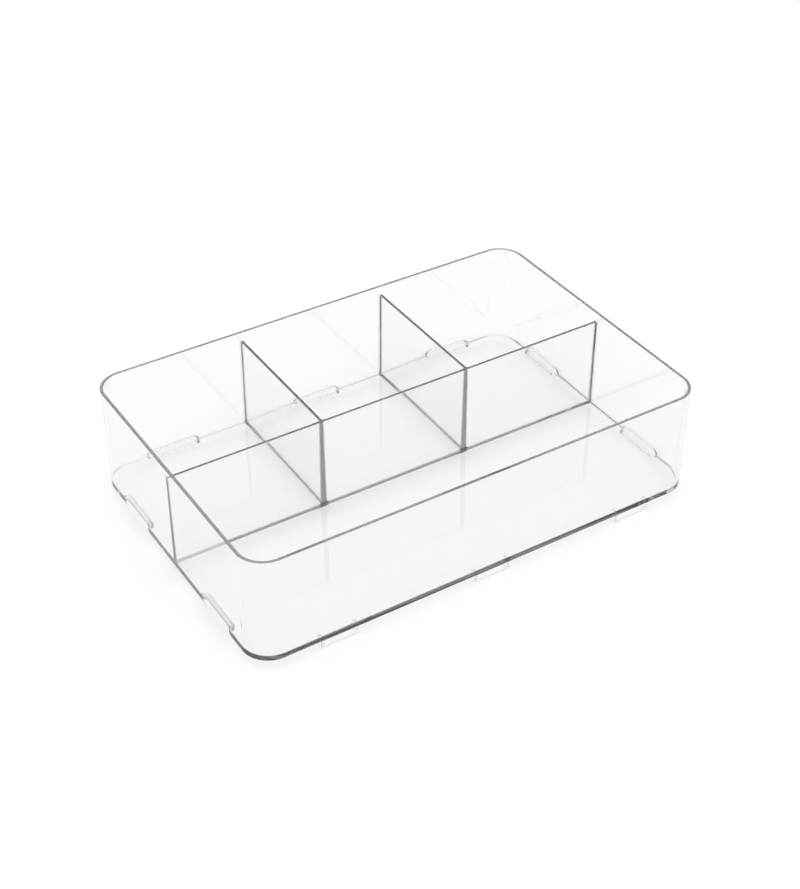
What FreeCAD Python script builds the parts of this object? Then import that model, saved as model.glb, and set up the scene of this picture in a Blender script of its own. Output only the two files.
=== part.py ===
import FreeCAD, Part
import math
import os

import Sketcher

# Clear compartment organizer tray, in millimetres.
# The origin is the centre of the footprint, at the level of the surface that the front feet stand on.
# X runs left to right along the tray, Y from the front to the back and Z up.

DIMENSIONS = [
    ("tray_length", 305.0, "outside length of the tray, left to right"),
    ("tray_width", 203.0, "outside width of the tray, front to back"),
    ("wall_height", 71.0, "height of the outer wall, from the underside to the rim"),
    ("wall_thickness", 2.0, "thickness of the outer wall"),
    ("floor_thickness", 2.2, "thickness of the floor"),
    ("corner_radius", 17.3, "outside radius of the four upright corners"),
    ("edge_round", 0.35, "small radius on the rim, the base and the free edges"),
    ("divider_drop", 6.3, "distance from the rim down to the tops of the dividers"),
    ("divider_top", 1.9, "thickness of a divider at its top"),
    ("divider_foot", 3.2, "thickness of a divider where it meets the floor"),
    ("front_row_depth", 101.5, "from the front face to the middle of the long divider"),
    ("cross_spacing", 102.3, "between the middles of the two cross dividers"),
    ("foot_width", 24.7, "length of a stacking foot along the front wall"),
    ("foot_depth", 6.4, "depth of a stacking foot, front to back"),
    ("foot_height", 5.2, "how far a stacking foot stands below the tray"),
    ("foot_wall", 2.0, "thickness of a stacking foot's front and ends, open behind and below"),
    ("foot_spacing", 103.1, "between the middles of neighbouring feet"),
    ("foot_shift", 3.6, "how far the middle foot stands to the right of the tray's middle"),
    ("pad_radius", 4.4, "radius of the rounded pads in the corner of wall and floor"),
    ("pad_wall", 2.0, "thickness of a pad's own wall, over the hollow below it"),
    ("pad_length", 36.0, "overall length of a corner pad"),
    ("back_pad_spacing", 103.5, "between the middles of neighbouring pads at the back wall"),
    ("side_pad_spacing", 104.0, "between the middles of the two pads at an end wall"),
]

TOLERANCE = 1e-4

doc = FreeCAD.newDocument("compartment_tray")


def make_sheet():
    """The driving dimensions: a name, a plain number and what it measures on each row."""
    sheet = doc.addObject("Spreadsheet::Sheet", "Dimensions")
    for row, (name, value, note) in enumerate(DIMENSIONS, start=1):
        sheet.set(f"A{row}", name)
        sheet.set(f"B{row}", str(value))
        sheet.set(f"C{row}", note)
        sheet.setAlias(f"B{row}", name)
    doc.recompute()
    return sheet


sheet = make_sheet()


def size(text):
    """An expression on the sheet: every name of a dimension gets the sheet's name before it."""
    for name, _, _ in DIMENSIONS:
        text = text.replace(name, "Dimensions." + name)
    return text


def value(name):
    """The plain number behind a dimension."""
    return float(sheet.get(name))


def new_body(name):
    """An empty body whose label is the piece's own name."""
    body = doc.addObject("PartDesign::Body", name)
    body.Label = name
    return body


def plane(body, role):
    """One of the body's own origin planes, such as XY_Plane."""
    return next(item for item in body.Origin.OriginFeatures if item.Role == role)


def new_sketch(body, name, role, lift=None):
    """A sketch on one of the body's origin planes, raised along the plane's normal."""
    sketch = body.newObject("Sketcher::SketchObject", name)
    sketch.AttachmentSupport = [(plane(body, role), "")]
    sketch.MapMode = "FlatFace"
    if lift is not None:
        sketch.setExpression("AttachmentOffset.Base.z", size(lift))
    return sketch


def add_outline(sketch, corners):
    """A closed outline of straight lines, joined end to end.

    The corners are only a rough start: the constraints that follow give the outline its real size.
    """
    count = len(corners)
    for index in range(count):
        start = FreeCAD.Vector(*corners[index], 0)
        end = FreeCAD.Vector(*corners[(index + 1) % count], 0)
        sketch.addGeometry(Part.LineSegment(start, end))
    for index in range(count):
        sketch.addConstraint(Sketcher.Constraint("Coincident", index, 2, (index + 1) % count, 1))


def set_length(sketch, label, constraint, expression):
    """A named dimension of a sketch, bound to the sheet."""
    index = sketch.addConstraint(constraint)
    sketch.renameConstraint(index, label)
    sketch.setExpression("Constraints." + label, size(expression))


def rectangle(body, name, length, width, lift=None):
    """A level rectangle centred on the body's own Z axis."""
    sketch = new_sketch(body, name, "XY_Plane", lift)
    add_outline(sketch, [(-10, -5), (10, -5), (10, 5), (-10, 5)])
    for index, direction in enumerate(("Horizontal", "Vertical", "Horizontal", "Vertical")):
        sketch.addConstraint(Sketcher.Constraint(direction, index))
    sketch.addConstraint(Sketcher.Constraint("Symmetric", 0, 1, 2, 1, -1, 1))
    set_length(sketch, "along_x", Sketcher.Constraint("DistanceX", 0, 1, 0, 2, 20), length)
    set_length(sketch, "along_y", Sketcher.Constraint("DistanceY", 1, 1, 1, 2, 10), width)
    return sketch


def rounded_rectangle(body, name, length, width, radius, lift):
    """A level rectangle with round corners, centred on the body's own Z axis."""
    sketch = new_sketch(body, name, "XY_Plane", lift)
    round_size = value("corner_radius") / 2
    half_x = value("tray_length") / 2
    half_y = value("tray_width") / 2
    turns = ((1, -1), (1, 1), (-1, 1), (-1, -1))
    for index, (right, back) in enumerate(turns):
        centre = FreeCAD.Vector(right * (half_x - round_size), back * (half_y - round_size), 0)
        start = math.radians(90 * (index - 1))
        circle = Part.Circle(centre, FreeCAD.Vector(0, 0, 1), round_size)
        sketch.addGeometry(Part.ArcOfCircle(circle, start, start + math.pi / 2))
    arcs = [sketch.Geometry[index] for index in range(len(turns))]
    for index in range(len(turns)):
        following = arcs[(index + 1) % len(turns)]
        sketch.addGeometry(Part.LineSegment(arcs[index].EndPoint, following.StartPoint))
    for index, direction in enumerate(("Vertical", "Horizontal", "Vertical", "Horizontal")):
        line = len(turns) + index
        following = (index + 1) % len(turns)
        sketch.addConstraint(Sketcher.Constraint("Tangent", index, 2, line, 1))
        sketch.addConstraint(Sketcher.Constraint("Tangent", line, 2, following, 1))
        sketch.addConstraint(Sketcher.Constraint(direction, line))
    for index in (1, 2, 3):
        sketch.addConstraint(Sketcher.Constraint("Equal", 0, index))
    sketch.addConstraint(Sketcher.Constraint("Symmetric", 0, 3, 2, 3, -1, 1))
    set_length(sketch, "along_x", Sketcher.Constraint("DistanceX", 6, 1, 4, 1, 2 * half_x), length)
    set_length(sketch, "along_y", Sketcher.Constraint("DistanceY", 7, 1, 5, 1, 2 * half_y), width)
    set_length(sketch, "corner", Sketcher.Constraint("Radius", 0, round_size), radius)
    return sketch


def divider_section(body, name, role):
    """The section of a divider, standing on the floor and thinner at the top."""
    sketch = new_sketch(body, name, role)
    add_outline(sketch, [(-2, 1), (2, 1), (1, 9), (-1, 9)])
    for index in (0, 2):
        sketch.addConstraint(Sketcher.Constraint("Symmetric", index, 1, index, 2, -2))
    foot_level = "foot_height + floor_thickness"
    top_level = "foot_height + wall_height - divider_drop"
    set_length(sketch, "foot_level", Sketcher.Constraint("DistanceY", -1, 1, 0, 1, 1), foot_level)
    set_length(sketch, "top_level", Sketcher.Constraint("DistanceY", -1, 1, 2, 1, 9), top_level)
    set_length(sketch, "foot_width", Sketcher.Constraint("DistanceX", 0, 1, 0, 2, 4), "divider_foot")
    set_length(sketch, "top_width", Sketcher.Constraint("DistanceX", 2, 2, 2, 1, 2), "divider_top")
    return sketch


def add_pad(body, sketch, name, length, both_ways=False, reverse=False):
    """Material from a sketch, to one side of it or half to each side."""
    pad = body.newObject("PartDesign::Pad", name)
    pad.Profile = sketch
    pad.SideType = "Symmetric" if both_ways else "One side"
    pad.Reversed = reverse
    pad.setExpression("Length", size(length))
    doc.recompute()
    return pad


def add_pocket(body, sketch, name, length, both_ways=False, reverse=False):
    """A cut from a sketch, which has to take material away."""
    before = body.Shape.Volume
    pocket = body.newObject("PartDesign::Pocket", name)
    pocket.Profile = sketch
    pocket.SideType = "Symmetric" if both_ways else "One side"
    pocket.Reversed = reverse
    pocket.setExpression("Length", size(length))
    doc.recompute()
    if body.Shape.Volume > before - TOLERANCE:
        raise RuntimeError(name + " cuts nothing")
    return pocket


def hollow_outline(body, name, turn, x, y):
    """The outline of the hollow under a pad, on the floor: a flat side at the wall and two round ends.

    Before it is turned, its wall is behind it and the middle of its flat side is at x and y.
    """
    sketch = new_sketch(body, name, "XY_Plane", "foot_height + floor_thickness")
    sketch.AttachmentOffset.Rotation = FreeCAD.Rotation(FreeCAD.Vector(0, 0, 1), turn)
    sketch.setExpression("AttachmentOffset.Base.x", size(x))
    sketch.setExpression("AttachmentOffset.Base.y", size(y))
    bend = value("pad_radius") - value("pad_wall")
    half = value("pad_length") / 2 - value("pad_radius")
    for side, start in ((-1, math.pi), (1, 1.5 * math.pi)):
        circle = Part.Circle(FreeCAD.Vector(side * half, 0, 0), FreeCAD.Vector(0, 0, 1), bend)
        sketch.addGeometry(Part.ArcOfCircle(circle, start, start + math.pi / 2))
    left, right = sketch.Geometry[0], sketch.Geometry[1]
    sketch.addGeometry(Part.LineSegment(left.EndPoint, right.StartPoint))
    sketch.addGeometry(Part.LineSegment(right.EndPoint, left.StartPoint))
    sketch.addConstraint(Sketcher.Constraint("Tangent", 0, 2, 2, 1))
    sketch.addConstraint(Sketcher.Constraint("Tangent", 2, 2, 1, 1))
    sketch.addConstraint(Sketcher.Constraint("Coincident", 1, 2, 3, 1))
    sketch.addConstraint(Sketcher.Constraint("Coincident", 3, 2, 0, 1))
    sketch.addConstraint(Sketcher.Constraint("Horizontal", 2))
    sketch.addConstraint(Sketcher.Constraint("Symmetric", 3, 1, 3, 2, -1, 1))
    sketch.addConstraint(Sketcher.Constraint("PointOnObject", 0, 3, -1))
    sketch.addConstraint(Sketcher.Constraint("PointOnObject", 1, 3, -1))
    set_length(sketch, "bend", Sketcher.Constraint("Radius", 0, bend), "pad_radius - pad_wall")
    straight = Sketcher.Constraint("DistanceX", 2, 1, 2, 2, 2 * half)
    set_length(sketch, "straight", straight, "pad_length - 2 * pad_radius")
    return sketch


def add_fillet(body, name, chosen, radius):
    """A round on every edge of the body that the test picks."""
    base = body.Tip
    names = [f"Edge{number}" for number, edge in enumerate(base.Shape.Edges, start=1) if chosen(edge)]
    fillet = body.newObject("PartDesign::Fillet", name)
    fillet.Base = (base, names)
    fillet.setExpression("Radius", size(radius))
    doc.recompute()
    return fillet


def level_at(height):
    """A test for edges that lie level at a height."""
    def test(edge):
        box = edge.BoundBox
        return abs(box.ZMin - height) < TOLERANCE and abs(box.ZMax - height) < TOLERANCE
    return test


def pad_places():
    """Each pad's name, its turn about Z and the middle of its corner line as X and Y.

    Three pads stand along the back wall and two along each end wall.
    """
    places = []
    for place, where in ((-1, "left"), (0, "middle"), (1, "right")):
        x = f"{place} * back_pad_spacing"
        places.append(("back_pad_" + where, 0, x, "tray_width / 2 - wall_thickness"))
    for side, wall, turn in ((-1, "left", 90), (1, "right", -90)):
        x = f"{side} * (tray_length / 2 - wall_thickness)"
        for place, where in ((-1, "front"), (1, "rear")):
            places.append((f"{wall}_pad_{where}", turn, x, f"{place} * side_pad_spacing / 2"))
    return places


def make_tray_shell():
    """The outer wall and the floor: one box with round upright corners, open at the top.

    Under each pad the floor is open, so that the pad is hollow from below.
    """
    body = new_body("tray_shell")
    outline = rounded_rectangle(
        body, "shell_outline", "tray_length", "tray_width", "corner_radius", "foot_height"
    )
    add_pad(body, outline, "shell_block", "wall_height")
    inner_length = "tray_length - 2 * wall_thickness"
    inner_width = "tray_width - 2 * wall_thickness"
    inner_radius = "corner_radius - wall_thickness"
    floor_level = "foot_height + floor_thickness"
    opening = rounded_rectangle(
        body, "shell_opening", inner_length, inner_width, inner_radius, floor_level
    )
    add_pocket(body, opening, "shell_hollow", "wall_height - floor_thickness", reverse=True)
    soft_edge = "min(edge_round; wall_thickness / 3)"
    rim_level = value("foot_height") + value("wall_height")
    add_fillet(body, "rim_round", level_at(rim_level), soft_edge)
    add_fillet(body, "base_round", level_at(value("foot_height")), soft_edge)
    for name, turn, x, y in pad_places():
        hollow = hollow_outline(body, name + "_hollow_outline", turn, x, y)
        add_pocket(body, hollow, name + "_hollow", "floor_thickness")
    return body


def divider_top_edges(along):
    """A test for the two long edges at the top of a divider, which runs along X or Y."""
    top_level = value("foot_height") + value("wall_height") - value("divider_drop")
    at_top = level_at(top_level)

    def test(edge):
        box = edge.BoundBox
        run = box.XLength if along == "X" else box.YLength
        return at_top(edge) and run > value("divider_top") + value("divider_foot")
    return test


DIVIDER_EDGE = "min(edge_round; divider_top / 3)"
LONG_DIVIDER_Y = "front_row_depth - tray_width / 2"


def make_long_divider():
    """The divider that runs from end wall to end wall and parts the front row from the rear one."""
    body = new_body("long_divider")
    section = divider_section(body, "long_section", "YZ_Plane")
    add_pad(body, section, "long_plate", "tray_length - 2 * wall_thickness", both_ways=True)
    add_fillet(body, "long_top_round", divider_top_edges("X"), DIVIDER_EDGE)
    body.setExpression("Placement.Base.y", size(LONG_DIVIDER_Y))
    return body


def make_cross_divider(name, side):
    """A divider from the long divider to the back wall; its front end follows the long one's slope."""
    body = new_body(name)
    section = divider_section(body, name + "_section", "XZ_Plane")
    reach = "tray_width - wall_thickness - front_row_depth"
    add_pad(body, section, name + "_plate", reach, reverse=True)
    neighbour = divider_section(body, name + "_end", "YZ_Plane")
    add_pocket(body, neighbour, name + "_end_cut", "2 * divider_foot", both_ways=True)
    add_fillet(body, name + "_top_round", divider_top_edges("Y"), DIVIDER_EDGE)
    body.setExpression("Placement.Base.x", size(f"{side} * cross_spacing / 2"))
    body.setExpression("Placement.Base.y", size(LONG_DIVIDER_Y))
    return body


def make_front_foot(name, place):
    """A stacking foot under the front edge: a front flush with the tray's, and two ends behind it."""
    body = new_body(name)
    outline = rectangle(body, name + "_outline", "foot_width", "foot_depth")
    add_pad(body, outline, name + "_block", "foot_height")
    between_ends = "foot_width - 2 * foot_wall"
    hollow = rectangle(body, name + "_hollow_outline", between_ends, "foot_depth")
    hollow.setExpression("AttachmentOffset.Base.y", size("foot_wall"))
    add_pocket(body, hollow, name + "_hollow", "foot_height", reverse=True)
    add_fillet(body, name + "_round", level_at(0.0), "min(edge_round; foot_wall / 3)")
    body.setExpression("Placement.Base.x", size(f"foot_shift + {place} * foot_spacing"))
    body.setExpression("Placement.Base.y", size("(foot_depth - tray_width) / 2"))
    return body


def quarter_bar(name, radius):
    """A quarter of a round bar with quarter-ball ends, its corner line along X through its middle."""
    bar = doc.addObject("Part::Cylinder", name + "_bar")
    bar.Angle = 90
    bar.setExpression("Radius", size(radius))
    bar.setExpression("Height", size("pad_length - 2 * pad_radius"))
    bar.Placement.Rotation = FreeCAD.Rotation(
        FreeCAD.Vector(0, 0, 1), FreeCAD.Vector(0, -1, 0), FreeCAD.Vector(1, 0, 0)
    )
    bar.setExpression("Placement.Base.x", size("pad_radius - pad_length / 2"))
    ends = []
    for side, start in ((-1, 180), (1, 270)):
        ball = doc.addObject("Part::Sphere", f"{name}_end_{start}")
        ball.Angle1 = 0
        ball.Angle2 = 90
        ball.Angle3 = 90
        ball.setExpression("Radius", size(radius))
        ball.Placement.Rotation = FreeCAD.Rotation(FreeCAD.Vector(0, 0, 1), start)
        ball.setExpression("Placement.Base.x", size(f"{side} * (pad_length / 2 - pad_radius)"))
        ends.append(ball)
    whole = doc.addObject("Part::MultiFuse", name + "_whole")
    whole.Shapes = [bar] + ends
    whole.Refine = True
    return whole


def make_corner_pad(name, turn, x, y):
    """A rounded pad in the corner of wall and floor, hollow behind and below.

    Before it is turned, its wall is behind it and its corner line runs along X through its middle.
    """
    pad = doc.addObject("Part::Cut", name)
    pad.Label = name
    pad.Base = quarter_bar(name + "_outside", "pad_radius")
    pad.Tool = quarter_bar(name + "_inside", "pad_radius - pad_wall")
    pad.Placement.Rotation = FreeCAD.Rotation(FreeCAD.Vector(0, 0, 1), turn)
    pad.setExpression("Placement.Base.x", size(x))
    pad.setExpression("Placement.Base.y", size(y))
    pad.setExpression("Placement.Base.z", size("foot_height + floor_thickness"))
    return pad


def check_document():
    """Stops if any object of the document failed or any shape is empty or broken."""
    for item in doc.Objects:
        if "Invalid" in item.State or "Error" in item.State:
            raise RuntimeError(item.Label + " failed: " + ", ".join(item.State))
        shape = getattr(item, "Shape", None)
        if shape is not None and (shape.isNull() or not shape.isValid()):
            raise RuntimeError(item.Label + " has no valid shape")


def write_pieces(pieces):
    """One STEP file for each piece, named after it."""
    os.makedirs("parts", exist_ok=True)
    for piece in pieces:
        if len(piece.Shape.Solids) != 1:
            raise RuntimeError(piece.Label + " is not one solid")
        piece.Shape.exportStep(f"parts/{piece.Label}.step")
        box = piece.Shape.optimalBoundingBox(True, False)
        spans = f"{box.XLength:.1f} x {box.YLength:.1f} x {box.ZLength:.1f} mm"
        print(f"{piece.Label}: {spans}, {piece.Shape.Volume:.1f} mm3")


pieces = [make_tray_shell(), make_long_divider()]
pieces += [make_cross_divider("cross_divider_left", -1), make_cross_divider("cross_divider_right", 1)]
for place, where in ((-1, "left"), (0, "middle"), (1, "right")):
    pieces.append(make_front_foot("front_foot_" + where, place))
pieces += [make_corner_pad(name, turn, x, y) for name, turn, x, y in pad_places()]

doc.recompute()
check_document()
write_pieces(pieces)
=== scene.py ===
import math

import bmesh
import bpy
from bpy.props import FloatProperty, FloatVectorProperty, IntProperty, PointerProperty, StringProperty
from bpy.types import Operator, Panel, PropertyGroup
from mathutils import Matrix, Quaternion, Vector


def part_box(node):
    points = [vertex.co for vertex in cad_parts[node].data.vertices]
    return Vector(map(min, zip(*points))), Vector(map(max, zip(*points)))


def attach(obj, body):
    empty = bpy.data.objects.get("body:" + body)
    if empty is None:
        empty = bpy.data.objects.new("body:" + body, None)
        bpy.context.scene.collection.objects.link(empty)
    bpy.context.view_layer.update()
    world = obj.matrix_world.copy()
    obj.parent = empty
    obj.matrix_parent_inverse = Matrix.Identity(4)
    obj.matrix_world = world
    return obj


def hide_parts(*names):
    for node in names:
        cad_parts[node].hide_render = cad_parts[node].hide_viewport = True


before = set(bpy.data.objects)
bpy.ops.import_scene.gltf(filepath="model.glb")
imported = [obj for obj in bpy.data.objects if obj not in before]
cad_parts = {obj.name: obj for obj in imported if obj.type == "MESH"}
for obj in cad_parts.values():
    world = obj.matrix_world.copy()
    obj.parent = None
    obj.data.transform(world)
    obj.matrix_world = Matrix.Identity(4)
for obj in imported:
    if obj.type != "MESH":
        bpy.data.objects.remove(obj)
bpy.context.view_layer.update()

bl_info = {
    "name": "Compartment tray",
    "version": (1, 0, 0),
    "blender": (4, 5, 0),
    "location": "3D View > Sidebar > Tray",
    "description": "Builds a clear compartment organizer tray around its packed model",
    "category": "Object",
}

# All lengths are metres. X runs along the tray, Y from the front to the back and Z up.
MM = 0.001
SHELL_LOW, SHELL_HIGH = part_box("tray_shell")
LONG_LOW, LONG_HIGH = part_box("long_divider")
WALL = LONG_LOW.x - SHELL_LOW.x
FLOOR = LONG_LOW.z - SHELL_LOW.z

CROSS_DIVIDERS = ("cross_divider_left", "cross_divider_right")
FRONT_FEET = ("front_foot_left", "front_foot_middle", "front_foot_right")
# The pads at each wall, with the direction from that wall into the tray.
PAD_ROWS = (
    (("back_pad_left", "back_pad_middle", "back_pad_right"), Vector((0, -1, 0))),
    (("left_pad_front", "left_pad_rear"), Vector((1, 0, 0))),
    (("right_pad_front", "right_pad_rear"), Vector((-1, 0, 0))),
)

# The places of the axes in a point.
X = 0
Y = 1
UP = Vector((0, 0, 1))

# Lengths that differ by less than this are the same, and points closer than this are one.
SAME = 1e-6
# A face looks along an axis when its normal reaches further than this along it.
FACING = 0.9
# Faces that meet at less than this are one flat face.
FLAT = math.radians(1)
# A divider's inside corner that turns by more than this gets a round.
SHARP_TURN = math.radians(30)
# Faces that meet at more than this are shaded apart: an edge without a round stays crisp.
CREASE = math.radians(40)
# How much wider a divider's root is than its round, so that the round has room to end.
ROOT_SPARE = 0.01 * MM
# An edge along a divider's top is longer than this, and every other edge up there is shorter.
RIDGE_LENGTH = 10 * MM
# Flat strips in a small round: on the rim, base and dividers, at the roots, and on the feet.
EDGE_STEPS = 4
ROOT_STEPS = 6
FOOT_STEPS = 3

# How far the white sweep runs from the middle to each side.
SWEEP_REACH = 6.0
# How much lower than the feet the sweep lies, because two faces in one plane would smear.
SWEEP_DROP = 0.05 * MM
# How often light that is caught in a wall may turn before it gets out.
LIGHT_TURNS = 64


# Settings


class TraySizes(PropertyGroup):
    """Sizes of the tray that its outer boxes don't give."""

    corner_radius: FloatProperty(
        name="Corner radius",
        description="Outside radius of the four upright corners",
        default=17.3 * MM,
        min=4 * MM,
        max=40 * MM,
        subtype="DISTANCE",
        unit="LENGTH",
    )
    corner_steps: IntProperty(
        name="Corner steps",
        description="Flat strips around each upright corner",
        default=32,
        min=6,
        max=96,
    )
    edge_round: FloatProperty(
        name="Edge round",
        description="Small radius on the rim, the base and the free edges",
        default=0.35 * MM,
        min=0.05 * MM,
        max=1 * MM,
        subtype="DISTANCE",
        unit="LENGTH",
    )
    root_round: FloatProperty(
        name="Root round",
        description="Radius in the inside corner of wall and floor",
        default=1.2 * MM,
        min=0.05 * MM,
        max=3 * MM,
        subtype="DISTANCE",
        unit="LENGTH",
    )
    divider_root: FloatProperty(
        name="Divider root",
        description="Radius in the corner where a divider meets the floor, a wall or another divider",
        default=1.2 * MM,
        min=0.05 * MM,
        max=3 * MM,
        subtype="DISTANCE",
        unit="LENGTH",
    )
    pad_wall: FloatProperty(
        name="Pad wall",
        description="Thickness of a corner pad's own wall, over the hollow below it",
        default=2.0 * MM,
        min=0.5 * MM,
        max=3.5 * MM,
        subtype="DISTANCE",
        unit="LENGTH",
    )
    pad_steps: IntProperty(
        name="Pad steps",
        description="Flat strips in each quarter turn of a corner pad",
        default=12,
        min=4,
        max=48,
    )
    foot_wall: FloatProperty(
        name="Foot wall",
        description="Thickness of a stacking foot's front and ends",
        default=2.0 * MM,
        min=0.5 * MM,
        max=3 * MM,
        subtype="DISTANCE",
        unit="LENGTH",
    )
    divider_top: FloatProperty(
        name="Divider top",
        description="Thickness of a divider at its top",
        default=1.9 * MM,
        min=1 * MM,
        max=3 * MM,
        subtype="DISTANCE",
        unit="LENGTH",
    )
    joint_depth: FloatProperty(
        name="Joint depth",
        description="How far a divider or pad runs into what carries it, so that no seam shows",
        default=0.05 * MM,
        min=0.0,
        max=0.5 * MM,
        subtype="DISTANCE",
        unit="LENGTH",
    )
    foot_gap: FloatProperty(
        name="Foot gap",
        description="Air between a foot and the underside, too thin to see",
        default=0.03 * MM,
        min=0.0,
        max=0.5 * MM,
        subtype="DISTANCE",
        unit="LENGTH",
    )


class TrayFinish(PropertyGroup):
    """What the clear plastic looks like."""

    tint: StringProperty(
        name="Tint",
        description="Colour of the plastic over a long path, as a hex value",
        default="#EDEDED",
    )
    density: FloatProperty(
        name="Density",
        description="How strongly the plastic takes light away, per metre",
        default=80.0,
        min=0.0,
        max=500.0,
    )
    refraction: FloatProperty(
        name="Refraction",
        description="Index of refraction of the plastic",
        default=1.5,
        min=1.3,
        max=1.7,
    )


class TrayStage(PropertyGroup):
    """The floor, the light and the camera around the tray."""

    azimuth: FloatProperty(
        name="Azimuth",
        description="How far the camera stands round to the left of the tray's front",
        default=math.radians(32.251),
        subtype="ANGLE",
        unit="ROTATION",
    )
    elevation: FloatProperty(
        name="Elevation",
        description="Height of the camera above the horizon",
        default=math.radians(37.275),
        subtype="ANGLE",
        unit="ROTATION",
    )
    roll: FloatProperty(
        name="Roll",
        description="Turn of the camera about its own line of sight",
        default=math.radians(0.134),
        subtype="ANGLE",
        unit="ROTATION",
    )
    distance: FloatProperty(
        name="Distance",
        description="From the camera to the point it looks at",
        default=1.0501,
        min=0.1,
        subtype="DISTANCE",
        unit="LENGTH",
    )
    aim: FloatVectorProperty(
        name="Aim",
        description="The point the camera looks at",
        default=(9.18 * MM, 9.49 * MM, 22.18 * MM),
        size=3,
        subtype="XYZ",
        unit="LENGTH",
    )
    lens: FloatProperty(
        name="Lens",
        description="Focal length in millimetres, on a sensor 36 mm along the picture's longer side",
        default=68.259,
        min=10.0,
    )
    floor_colour: StringProperty(
        name="Floor colour",
        description="Colour of the white sweep, as a hex value",
        default="#E6E6E6",
    )
    sky_strength: FloatProperty(
        name="Sky strength",
        description="Level of the soft light from all round",
        default=1.0,
        min=0.0,
        max=3.0,
    )


# Materials


def linear_colour(hex_value):
    """An sRGB hex colour as linear red, green, blue and alpha."""
    digits = hex_value.lstrip("#")
    shares = [int(digits[place : place + 2], 16) / 255 for place in (0, 2, 4)]
    linear = [c / 12.92 if c <= 0.04045 else ((c + 0.055) / 1.055) ** 2.4 for c in shares]
    return (*linear, 1.0)


def add_node(tree, kind, settings=None, values=None, links=None):
    """A node with its settings, its sockets' values and what feeds its sockets."""
    node = tree.nodes.new(kind)
    for name, value in (settings or {}).items():
        setattr(node, name, value)
    for socket, value in (values or {}).items():
        node.inputs[socket].default_value = value
    for socket, source in (links or {}).items():
        tree.links.new(source, node.inputs[socket])
    return node


def moulded_clear_plastic(finish):
    """Clear polystyrene, injection moulded in a polished steel tool.

    It is as clear as glass over a wall's thickness and greys only along a wall or a floor, which is what
    draws the dark rim and base lines. Its faces carry the faint ripple of the melt and a trace of haze.
    """
    material = bpy.data.materials.get("moulded_clear_polystyrene")
    if material:
        return material
    material = bpy.data.materials.new("moulded_clear_polystyrene")
    material.use_nodes = True
    tree = material.node_tree
    tree.nodes.clear()
    place = add_node(tree, "ShaderNodeTexCoord").outputs["Object"]
    # The melt leaves wide and very shallow ripples.
    ripple_width = 25 * MM
    ripple_height = 0.004 * MM
    ripple = add_node(
        tree,
        "ShaderNodeTexNoise",
        values={"Scale": 1 / ripple_width, "Detail": 1.0, "Roughness": 0.4},
        links={"Vector": place},
    )
    surface = add_node(
        tree,
        "ShaderNodeBump",
        values={"Strength": 1.0, "Distance": ripple_height},
        links={"Height": ripple.outputs["Fac"]},
    )
    # Handling leaves haze in patches. Where its noise is lowest the plastic is clear.
    haze_width = 8 * MM
    clear_level = 0.35
    haziest_level = 0.75
    haze_roughness = 0.012
    haze = add_node(
        tree,
        "ShaderNodeTexNoise",
        values={"Scale": 1 / haze_width, "Detail": 3.0},
        links={"Vector": place},
    )
    roughness = add_node(
        tree,
        "ShaderNodeMapRange",
        values={
            "From Min": clear_level,
            "From Max": haziest_level,
            "To Min": 0.0,
            "To Max": haze_roughness,
        },
        links={"Value": haze.outputs["Fac"]},
    )
    plastic = add_node(
        tree,
        "ShaderNodeBsdfPrincipled",
        values={
            "Base Color": (1.0, 1.0, 1.0, 1.0),
            "IOR": finish.refraction,
            "Transmission Weight": 1.0,
        },
        links={"Roughness": roughness.outputs["Result"], "Normal": surface.outputs["Normal"]},
    )
    body = add_node(
        tree,
        "ShaderNodeVolumeAbsorption",
        values={"Color": linear_colour(finish.tint), "Density": finish.density},
    )
    add_node(
        tree,
        "ShaderNodeOutputMaterial",
        links={"Surface": plastic.outputs["BSDF"], "Volume": body.outputs["Volume"]},
    )
    return material


def white_sweep(stage):
    """The white paper sweep under the tray: matt, and lifted to plain white where nothing shades it."""
    material = bpy.data.materials.new("white_paper_sweep")
    material.use_nodes = True
    tree = material.node_tree
    tree.nodes.clear()
    paper = add_node(tree, "ShaderNodeBsdfDiffuse", values={"Color": linear_colour(stage.floor_colour)})
    rays = add_node(tree, "ShaderNodeLightPath").outputs
    seen = rays["Is Camera Ray"]
    for kind in ("Is Glossy Ray", "Is Transmission Ray"):
        either = add_node(
            tree,
            "ShaderNodeMath",
            {"operation": "MAXIMUM"},
            links={0: seen, 1: rays[kind]},
        )
        seen = either.outputs[0]
    # A little over white, so that the paper stays white where the tray barely shades it.
    full_white = 1.02
    lift = full_white - linear_colour(stage.floor_colour)[0]
    strength = add_node(
        tree,
        "ShaderNodeMath",
        {"operation": "MULTIPLY"},
        values={1: lift},
        links={0: seen},
    )
    glow = add_node(tree, "ShaderNodeEmission", links={"Strength": strength.outputs[0]})
    both = add_node(
        tree, "ShaderNodeAddShader", links={0: paper.outputs["BSDF"], 1: glow.outputs["Emission"]}
    )
    add_node(tree, "ShaderNodeOutputMaterial", links={"Surface": both.outputs[0]})
    return material


# Shaping


def block(low, high):
    """A new bmesh holding one box between two corners."""
    mesh = bmesh.new()
    low, high = Vector(low), Vector(high)
    bmesh.ops.create_cube(mesh, size=1.0)
    bmesh.ops.scale(mesh, vec=high - low, verts=mesh.verts)
    bmesh.ops.translate(mesh, vec=(low + high) / 2, verts=mesh.verts)
    return mesh


def level_edges(mesh, height):
    """The edges that lie level at a height."""
    return [e for e in mesh.edges if all(abs(v.co.z - height) < SAME for v in e.verts)]


def upright_edges(mesh):
    """The edges that run straight up."""
    return [e for e in mesh.edges if (e.verts[0].co - e.verts[1].co).xy.length < SAME]


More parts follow.
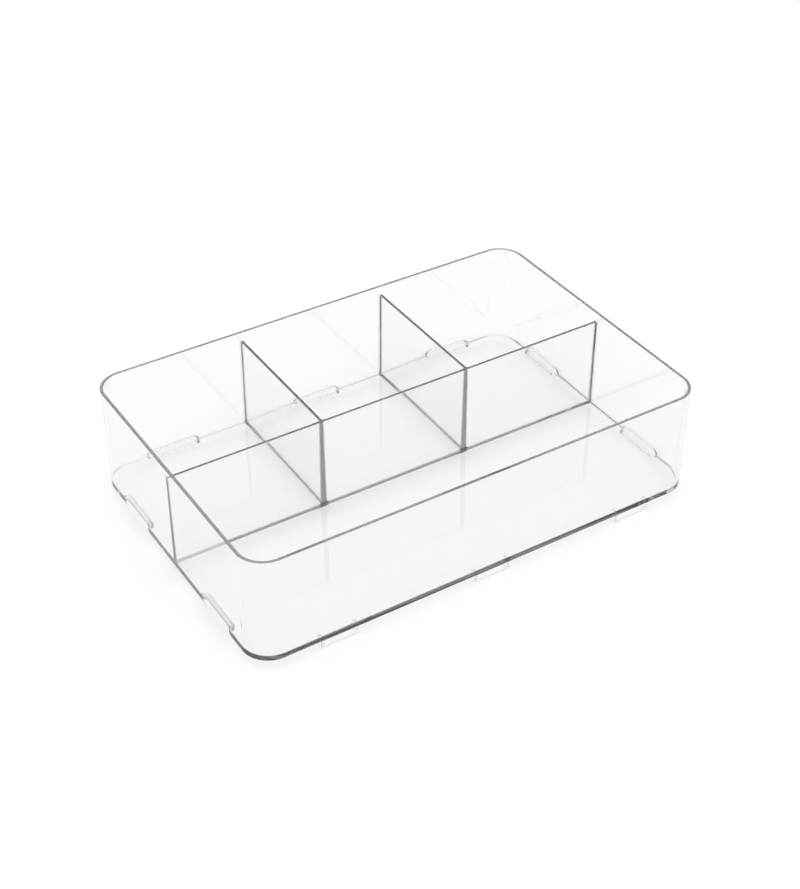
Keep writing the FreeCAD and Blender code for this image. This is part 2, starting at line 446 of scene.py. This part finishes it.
def round_edges(mesh, edges, radius, steps):
    """A round of that radius along the edges."""
    bmesh.ops.bevel(
        mesh,
        geom=edges,
        offset=radius,
        offset_type="OFFSET",
        segments=steps,
        profile=0.5,
        affect="EDGES",
        material=-1,
        clamp_overlap=True,
    )


def vertices_of(parts):
    """The vertices among the parts of a mesh that an operator gave back."""
    return [part for part in parts if isinstance(part, bmesh.types.BMVert)]


def everything(mesh):
    """All vertices, edges and faces of a mesh."""
    return mesh.verts[:] + mesh.edges[:] + mesh.faces[:]


def cut_through(mesh, planes):
    """Draws edges where planes cross the mesh. Each is a point on the plane and the way across it."""
    for place, across in planes:
        bmesh.ops.bisect_plane(mesh, geom=everything(mesh), plane_co=place, plane_no=across)


def extrude_faces(mesh, faces, step):
    """Sets a copy of the faces a step away, with walls between. The faces themselves stay."""
    grown = bmesh.ops.extrude_face_region(mesh, geom=faces)["geom"]
    bmesh.ops.translate(mesh, vec=step, verts=vertices_of(grown))


def move_faces(mesh, faces, step):
    """Moves the faces by a step and leaves walls behind them."""
    extrude_faces(mesh, faces, step)
    bmesh.ops.delete(mesh, geom=faces, context="FACES")


def add_object(name, mesh):
    """An object in the scene made of a bmesh, which is freed."""
    data = bpy.data.meshes.new(name)
    mesh.to_mesh(data)
    mesh.free()
    made = bpy.data.objects.new(name, data)
    bpy.context.scene.collection.objects.link(made)
    return made


def cut_away(mesh, tool):
    """Takes one closed bmesh out of another and returns what is left. Both are freed."""
    carved = add_object("carved", mesh)
    carver = add_object("carver", tool)
    cut = carved.modifiers.new("cut", "BOOLEAN")
    cut.operation = "DIFFERENCE"
    cut.solver = "EXACT"
    cut.object = carver
    bpy.context.view_layer.update()
    result = carved.evaluated_get(bpy.context.evaluated_depsgraph_get())
    data = bpy.data.meshes.new_from_object(result)
    left = bmesh.new()
    left.from_mesh(data)
    # An object goes with its mesh.
    for spare in (data, carved.data, carver.data):
        bpy.data.meshes.remove(spare)
    return left


def finish_piece(mesh, name, *nodes):
    """Makes the object of a finished bmesh, with its plastic, and puts it in place of its CAD nodes."""
    bmesh.ops.remove_doubles(mesh, verts=mesh.verts, dist=SAME)
    bmesh.ops.recalc_face_normals(mesh, faces=mesh.faces)
    for face in mesh.faces:
        face.smooth = True
    for edge in mesh.edges:
        edge.smooth = edge.calc_face_angle(0.0) < CREASE
    piece = add_object(name, mesh)
    piece.data.materials.append(moulded_clear_plastic(bpy.context.scene.tray_finish))
    # Wide flat faces keep their own normal, and the small rounds beside them take up the turn.
    even = piece.modifiers.new("flat_faces", "WEIGHTED_NORMAL")
    even.weight = 100
    even.keep_sharp = True
    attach(piece, "root")
    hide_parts(*nodes)


# Tray shell


def pad_hollows(sizes):
    """The spaces under the pads as closed forms, which reach past both sides of the floor."""
    spare = FLOOR
    tool = bmesh.new()
    for nodes, wall_normal in PAD_ROWS:
        for node in nodes:
            corner, along, reach, radius = pad_frame(node, wall_normal)
            bend = radius - sizes.pad_wall
            outline = draw_outline(tool, corner + spare * UP, along, reach, bend, sizes.pad_steps)
            bmesh.ops.contextual_create(tool, geom=outline)
    extrude_faces(tool, tool.faces[:], -(spare + FLOOR + spare) * UP)
    bmesh.ops.recalc_face_normals(tool, faces=tool.faces)
    return tool


def make_shell(sizes):
    """The outer wall and floor: a box with round upright corners, hollow from the rim down.

    The floor is open under each pad, so that the pad is hollow from below.
    """
    floor_level = SHELL_LOW.z + FLOOR
    mesh = block(SHELL_LOW, SHELL_HIGH)
    round_edges(mesh, upright_edges(mesh), sizes.corner_radius, sizes.corner_steps)
    top = max(mesh.faces, key=lambda face: face.calc_center_median().z)
    bmesh.ops.inset_region(mesh, faces=[top], thickness=WALL, use_even_offset=True)
    move_faces(mesh, [top], -(SHELL_HIGH.z - SHELL_LOW.z - FLOOR) * UP)
    round_edges(mesh, level_edges(mesh, SHELL_HIGH.z), sizes.edge_round, EDGE_STEPS)
    round_edges(mesh, level_edges(mesh, SHELL_LOW.z), sizes.edge_round, EDGE_STEPS)
    round_edges(mesh, level_edges(mesh, floor_level), sizes.root_round, ROOT_STEPS)
    mesh = cut_away(mesh, pad_hollows(sizes))
    finish_piece(mesh, "clear_tray_shell", "tray_shell")


# Dividers


def taper(mesh, axis, middle, foot, top_width, top_level):
    """Draws the top of a divider in to its top width, about its middle plane."""
    for vert in mesh.verts:
        if abs(vert.co.z - top_level) < SAME:
            vert.co[axis] = middle + (vert.co[axis] - middle) * top_width / foot


def flare_roots(mesh, axis, joints, radius):
    """Widens a divider where it runs into its neighbours, and rounds the corners that this makes.

    The axis is the one across the divider. Each joint is a plane: a point on it and the way into
    the neighbour.
    """
    cut_through(mesh, joints)
    bmesh.ops.recalc_face_normals(mesh, faces=mesh.faces)
    for side in (-1, 1):
        buried = [
            face
            for face in mesh.faces
            if face.normal[axis] * side > FACING
            and any((face.calc_center_median() - place).dot(inward) > 0 for place, inward in joints)
        ]
        step = Vector()
        step[axis] = side * (radius + ROOT_SPARE)
        move_faces(mesh, buried, step)
    bmesh.ops.recalc_face_normals(mesh, faces=mesh.faces)
    inside_corners = [e for e in mesh.edges if not e.is_convex and e.calc_face_angle() > SHARP_TURN]
    round_edges(mesh, inside_corners, radius, ROOT_STEPS)


def round_ridge(mesh, level, radius):
    """Rounds the two long edges along the top of a divider."""
    ridge = [e for e in level_edges(mesh, level) if e.calc_length() > RIDGE_LENGTH]
    round_edges(mesh, ridge, radius, EDGE_STEPS)


def make_long_divider(sizes):
    """The divider from end wall to end wall, drawn in towards its top."""
    dip = sizes.joint_depth
    mesh = block(LONG_LOW - Vector((dip, 0, dip)), LONG_HIGH + Vector((dip, 0, 0)))
    middle = (LONG_LOW.y + LONG_HIGH.y) / 2
    taper(mesh, Y, middle, LONG_HIGH.y - LONG_LOW.y, sizes.divider_top, LONG_HIGH.z)
    joints = (
        (LONG_LOW, -UP),
        (LONG_LOW, Vector((-1, 0, 0))),
        (LONG_HIGH, Vector((1, 0, 0))),
    )
    flare_roots(mesh, Y, joints, sizes.divider_root)
    round_ridge(mesh, LONG_HIGH.z, sizes.edge_round)
    finish_piece(mesh, "clear_long_divider", "long_divider")


def make_cross_divider(sizes, node):
    """A divider from the long divider to the back wall, with its front end on the long one's slope."""
    low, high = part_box(node)
    dip = sizes.joint_depth
    front_low = LONG_HIGH.y - dip
    front_high = (LONG_LOW.y + LONG_HIGH.y) / 2 + sizes.divider_top / 2 - dip
    mesh = block((low.x, front_low, low.z - dip), (high.x, high.y + dip, high.z))
    for vert in mesh.verts:
        if abs(vert.co.y - front_low) < SAME and abs(vert.co.z - high.z) < SAME:
            vert.co.y = front_high
    taper(mesh, X, (low.x + high.x) / 2, high.x - low.x, sizes.divider_top, high.z)
    slope = Vector((0, front_high - front_low, high.z - low.z + dip)).normalized()
    joints = (
        (low, -UP),
        (high, Vector((0, 1, 0))),
        (Vector((low.x, LONG_HIGH.y, low.z)), Vector((0, -slope.z, slope.y))),
    )
    flare_roots(mesh, X, joints, sizes.divider_root)
    round_ridge(mesh, high.z, sizes.edge_round)
    finish_piece(mesh, "clear_" + node, node)


# Front feet


def make_front_foot(sizes, node):
    """A stacking foot under the front edge: a front plate and two ends, open behind and below."""
    low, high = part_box(node)
    wall = sizes.foot_wall
    mesh = bmesh.new()
    bmesh.ops.create_grid(mesh, x_segments=1, y_segments=1, size=0.5)
    bmesh.ops.scale(mesh, vec=high - low, verts=mesh.verts)
    bmesh.ops.translate(mesh, vec=((low.x + high.x) / 2, (low.y + high.y) / 2, low.z), verts=mesh.verts)
    lines = (
        (low + Vector((wall, 0, 0)), (1, 0, 0)),
        (high - Vector((wall, 0, 0)), (1, 0, 0)),
        (low + Vector((0, wall, 0)), (0, 1, 0)),
    )
    cut_through(mesh, lines)
    hollow = [
        face
        for face in mesh.faces
        if low.x + wall < face.calc_center_median().x < high.x - wall
        and face.calc_center_median().y > low.y + wall
    ]
    bmesh.ops.delete(mesh, geom=hollow, context="FACES")
    bmesh.ops.dissolve_limit(mesh, angle_limit=FLAT, verts=mesh.verts, edges=mesh.edges)
    extrude_faces(mesh, mesh.faces[:], (high.z - low.z - sizes.foot_gap) * UP)
    soft = level_edges(mesh, low.z) + upright_edges(mesh)
    round_edges(mesh, soft, sizes.edge_round, FOOT_STEPS)
    finish_piece(mesh, "clear_" + node, node)


# Corner pads


def pad_frame(node, wall_normal):
    """A pad's corner point at its middle, its direction along the wall, and its reach and radius."""
    low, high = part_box(node)
    middle = (low + high) / 2
    along = UP.cross(wall_normal)
    radius = high.z - low.z
    reach = abs((high - low).dot(along)) / 2 - radius
    corner = Vector((middle.x, middle.y, low.z)) - wall_normal * (radius / 2)
    return corner, along, reach, radius


def draw_outline(mesh, corner, along, reach, radius, steps):
    """Half of a long round-ended outline, from the wall round and back to it; returns its vertices."""
    drawn_before = set(mesh.verts)
    start = mesh.verts.new(corner - along * (reach + radius))
    quarter = {"axis": (0, 0, 1), "angle": math.pi / 2, "steps": steps}
    first = bmesh.ops.spin(mesh, geom=[start], cent=corner - along * reach, **quarter)
    last = vertices_of(first["geom_last"])
    bend = bmesh.ops.extrude_vert_indiv(mesh, verts=last)["verts"]
    bmesh.ops.translate(mesh, vec=along * 2 * reach, verts=bend)
    bmesh.ops.spin(mesh, geom=bend, cent=corner + along * reach, **quarter)
    return [vert for vert in mesh.verts if vert not in drawn_before]


def make_corner_pad(sizes, node, wall_normal):
    """A rounded pad in the corner of wall and floor, hollow behind and below.

    Its outline on the floor is drawn twice, a wall apart, and the strip between is spun up to the wall.
    """
    corner, along, reach, radius = pad_frame(node, wall_normal)
    steps = sizes.pad_steps
    mesh = bmesh.new()
    draw_outline(mesh, corner, along, reach, radius, steps)
    draw_outline(mesh, corner, along, reach, radius - sizes.pad_wall, steps)
    bmesh.ops.bridge_loops(mesh, edges=mesh.edges[:])
    bmesh.ops.spin(mesh, geom=everything(mesh), cent=corner, axis=along, angle=-math.pi / 2, steps=steps)
    bmesh.ops.remove_doubles(mesh, verts=mesh.verts, dist=SAME)
    into_joint = -(wall_normal + UP) * sizes.joint_depth
    bmesh.ops.translate(mesh, vec=into_joint, verts=mesh.verts)
    finish_piece(mesh, "clear_" + node, node)


# Stage


def make_floor(stage):
    """The white sweep that the feet stand on."""
    mesh = bmesh.new()
    bmesh.ops.create_grid(mesh, x_segments=1, y_segments=1, size=SWEEP_REACH)
    bmesh.ops.translate(mesh, vec=-SWEEP_DROP * UP, verts=mesh.verts)
    floor = add_object("floor", mesh)
    floor.data.materials.append(white_sweep(stage))


def make_light(stage):
    """Even white light from all round."""
    scene = bpy.context.scene
    scene.world = bpy.data.worlds.new("studio")
    scene.world.use_nodes = True
    tree = scene.world.node_tree
    tree.nodes.clear()
    sky = add_node(
        tree,
        "ShaderNodeBackground",
        values={"Color": (1.0, 1.0, 1.0, 1.0), "Strength": stage.sky_strength},
    )
    add_node(tree, "ShaderNodeOutputWorld", links={"Surface": sky.outputs["Background"]})
    scene.view_settings.view_transform = "Standard"
    scene.cycles.max_bounces = LIGHT_TURNS
    scene.cycles.transmission_bounces = LIGHT_TURNS
    scene.cycles.glossy_bounces = LIGHT_TURNS
    # Unblurred, so that the light that reaches the floor through the clear plastic isn't lost.
    scene.cycles.blur_glossy = 0.0


def make_camera(stage):
    """The camera at the photograph's viewing angle."""
    data = bpy.data.cameras.new("camera")
    data.lens = stage.lens
    data.sensor_width = 36.0
    data.clip_start = 10 * MM
    camera = bpy.data.objects.new("camera", data)
    back = Vector(
        (
            -math.sin(stage.azimuth) * math.cos(stage.elevation),
            -math.cos(stage.azimuth) * math.cos(stage.elevation),
            math.sin(stage.elevation),
        )
    )
    turn = (-back).to_track_quat("-Z", "Y") @ Quaternion((0, 0, 1), stage.roll)
    camera.rotation_mode = "QUATERNION"
    camera.rotation_quaternion = turn
    camera.location = Vector(stage.aim) + back * stage.distance
    bpy.context.scene.collection.objects.link(camera)
    bpy.context.scene.camera = camera


# Operators and panel


class TRAY_OT_shell(Operator):
    """Makes the clear outer wall and floor."""

    bl_idname = "tray.shell"
    bl_label = "Tray shell"

    def execute(self, context):
        make_shell(context.scene.tray_sizes)
        return {"FINISHED"}


class TRAY_OT_long_divider(Operator):
    """Makes the divider that runs the whole length of the tray."""

    bl_idname = "tray.long_divider"
    bl_label = "Long divider"

    def execute(self, context):
        make_long_divider(context.scene.tray_sizes)
        return {"FINISHED"}


class TRAY_OT_cross_dividers(Operator):
    """Makes the two short dividers behind the long one."""

    bl_idname = "tray.cross_dividers"
    bl_label = "Cross dividers"

    def execute(self, context):
        for node in CROSS_DIVIDERS:
            make_cross_divider(context.scene.tray_sizes, node)
        return {"FINISHED"}


class TRAY_OT_front_feet(Operator):
    """Makes the three stacking feet under the front edge."""

    bl_idname = "tray.front_feet"
    bl_label = "Front feet"

    def execute(self, context):
        for node in FRONT_FEET:
            make_front_foot(context.scene.tray_sizes, node)
        return {"FINISHED"}


class TRAY_OT_corner_pads(Operator):
    """Makes the rounded pads along the back wall and the end walls."""

    bl_idname = "tray.corner_pads"
    bl_label = "Corner pads"

    def execute(self, context):
        for nodes, wall_normal in PAD_ROWS:
            for node in nodes:
                make_corner_pad(context.scene.tray_sizes, node, wall_normal)
        return {"FINISHED"}


class TRAY_OT_stage(Operator):
    """Makes the white floor, the soft light and the camera."""

    bl_idname = "tray.stage"
    bl_label = "Stage"

    def execute(self, context):
        stage = context.scene.tray_stage
        make_floor(stage)
        make_light(stage)
        make_camera(stage)
        return {"FINISHED"}


OPERATORS = (
    TRAY_OT_shell,
    TRAY_OT_long_divider,
    TRAY_OT_cross_dividers,
    TRAY_OT_front_feet,
    TRAY_OT_corner_pads,
    TRAY_OT_stage,
)


class TRAY_PT_sidebar(Panel):
    """The tray's operators and settings."""

    bl_idname = "TRAY_PT_sidebar"
    bl_label = "Compartment tray"
    bl_space_type = "VIEW_3D"
    bl_region_type = "UI"
    bl_category = "Tray"

    def draw(self, context):
        for item in OPERATORS:
            self.layout.operator(item.bl_idname)
        for group in (context.scene.tray_sizes, context.scene.tray_finish, context.scene.tray_stage):
            for name in group.__annotations__:
                self.layout.prop(group, name)


CLASSES = (TraySizes, TrayFinish, TrayStage, *OPERATORS, TRAY_PT_sidebar)


def register():
    for item in CLASSES:
        bpy.utils.register_class(item)
    bpy.types.Scene.tray_sizes = PointerProperty(type=TraySizes)
    bpy.types.Scene.tray_finish = PointerProperty(type=TrayFinish)
    bpy.types.Scene.tray_stage = PointerProperty(type=TrayStage)


def unregister():
    del bpy.types.Scene.tray_stage
    del bpy.types.Scene.tray_finish
    del bpy.types.Scene.tray_sizes
    for item in reversed(CLASSES):
        bpy.utils.unregister_class(item)


def main():
    """Builds the tray and its stage."""
    register()
    bpy.ops.tray.shell()
    bpy.ops.tray.long_divider()
    bpy.ops.tray.cross_dividers()
    bpy.ops.tray.front_feet()
    bpy.ops.tray.corner_pads()
    bpy.ops.tray.stage()
    bpy.context.view_layer.update()


if __name__ == "__main__":
    main()
